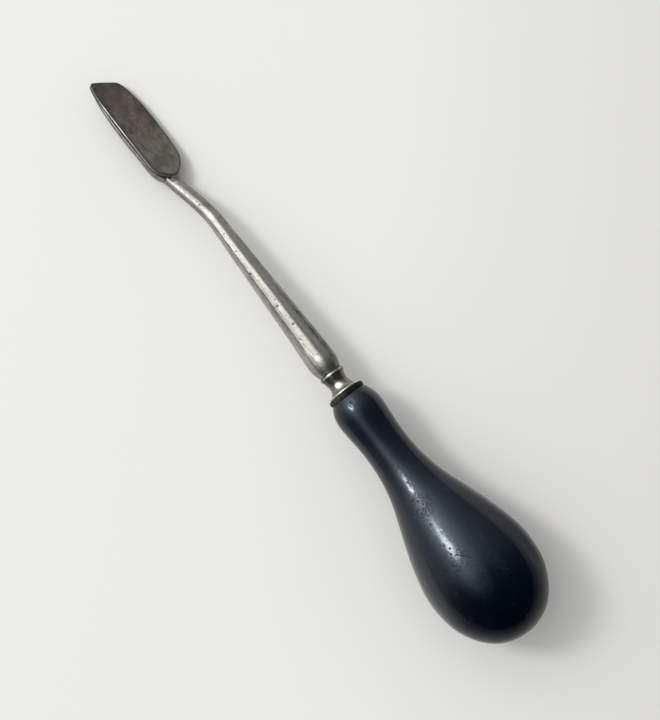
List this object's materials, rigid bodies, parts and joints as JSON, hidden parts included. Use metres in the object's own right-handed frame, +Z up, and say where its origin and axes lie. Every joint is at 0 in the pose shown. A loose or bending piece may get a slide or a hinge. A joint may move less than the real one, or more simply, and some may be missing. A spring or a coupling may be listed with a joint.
{
  "type": "cranked spreading iron",
  "caption": "Hand spreading iron: flat tongue-shaped face plate on a cranked eight-sided steel shank, flanged bolster and a pear-shaped wooden palm handle.",
  "frame": {"origin": "centre of the bounding box, on the surface the tool lies on", "axes": "+X from the blade to the butt along the handle, +Z up, the tool lying at rest on bulb, knee and plate edge"},
  "size_m": [0.2394, 0.0404, 0.0404],
  "materials": {
    "dark_steel": "fire-darkened steel, matt, with purple-brown and grey heat tints",
    "bright_steel": "worn polished steel with fine pits",
    "brazing": "dull, oxidised",
    "leather": "black, hardened",
    "ebonised_wood": "blue-black, waxed, semi-gloss with small pits",
    "cement": "resin cutler's cement, hidden in the handle"
  },
  "bodies": {
    "root": {"face_plate": "dark_steel", "shank": "bright_steel", "braze_fillet": "brazing", "neck_ring": "bright_steel", "bolster": "bright_steel", "seat_washer": "leather", "handle": "ebonised_wood", "tang_cement": "cement"}
  },
  "joints": []
}
